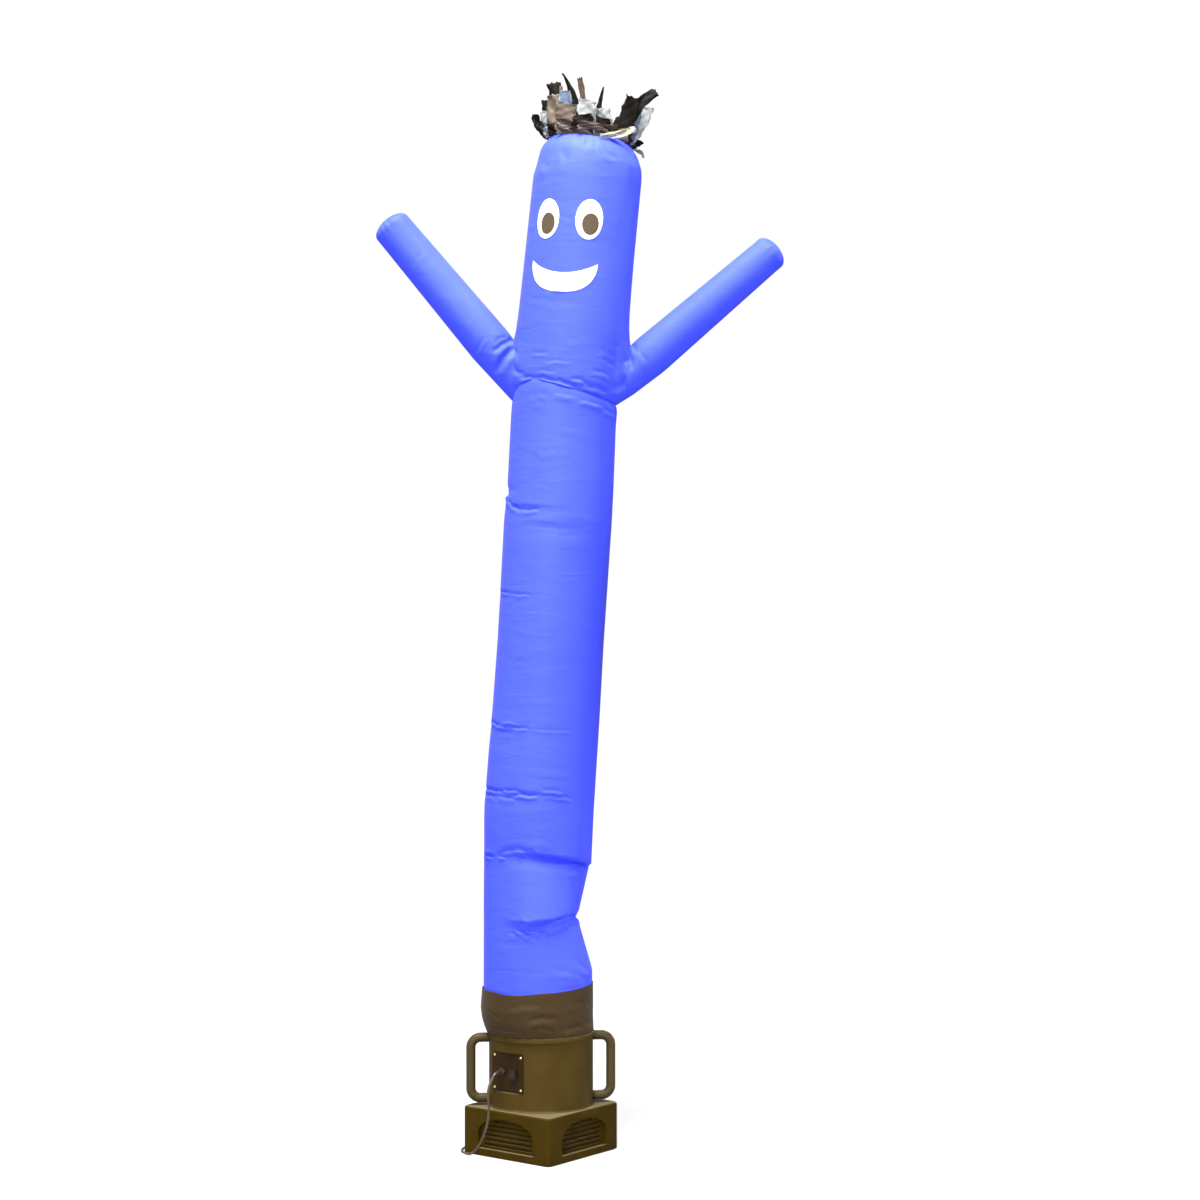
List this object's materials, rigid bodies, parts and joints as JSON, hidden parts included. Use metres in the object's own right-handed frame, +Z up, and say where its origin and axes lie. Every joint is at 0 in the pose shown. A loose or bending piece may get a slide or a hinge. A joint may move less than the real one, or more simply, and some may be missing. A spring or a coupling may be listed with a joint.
{
  "type": "inflatable air dancer on its blower",
  "caption": "Tall inflated cloth tube figure with raised arms, a plain smiling face and foil-strip hair, standing on a square-footed fan blower with side handles and a mains lead.",
  "frame": {"origin": "centre of the blower's flat underside, on the surface it stands on", "axes": "+Z up along the figure's height; -Y towards its face; +X to a viewer's right, the way the figure leans"},
  "size_m": [1.1812, 0.4852, 3.1038],
  "materials": {
    "blue_nylon": "satin",
    "brown_nylon": "matte",
    "white_patch": "matte",
    "pupil_patch": "matte",
    "hair_film": "gloss",
    "blower_plastic": "satin",
    "handle_plastic": "satin",
    "panel_steel": "satin",
    "screw_brass": "satin",
    "gland_plastic": "satin",
    "switch_plastic": "gloss",
    "lead_rubber": "satin",
    "plug_brass": "satin"
  },
  "bodies": {
    "main": {"trunk_lower": "blue_nylon", "trunk_upper": "blue_nylon", "arm_left": "blue_nylon", "arm_right": "blue_nylon", "collar": "brown_nylon", "eye_left": "white_patch", "eye_right": "white_patch", "mouth": "white_patch", "pupil_left": "pupil_patch", "pupil_right": "pupil_patch", "hair_strips": "hair_film", "blower_base": "blower_plastic", "blower_housing": "blower_plastic", "outlet_ring": "blower_plastic", "handle_left": "handle_plastic", "handle_right": "handle_plastic", "switch_panel": "panel_steel", "panel_screw_1": "screw_brass", "panel_screw_2": "screw_brass", "panel_screw_3": "screw_brass", "panel_screw_4": "screw_brass", "rocker_bezel": "switch_plastic", "cord_gland": "gland_plastic", "strain_relief": "gland_plastic", "power_lead": "lead_rubber", "lead_coil": "lead_rubber", "plug_body": "lead_rubber", "plug_blade_1": "plug_brass", "plug_blade_2": "plug_brass", "plug_earth_pin": "plug_brass"},
    "switch": {"rocker": "switch_plastic"}
  },
  "joints": [
    {"name": "switch_rock", "type": "hinge", "parent": "main", "child": "switch", "pos_m": [-0.07741, -0.12737, 0.2445], "axis": [0.7771, -0.6293, 0], "range_deg": [-16, 0]}
  ]
}
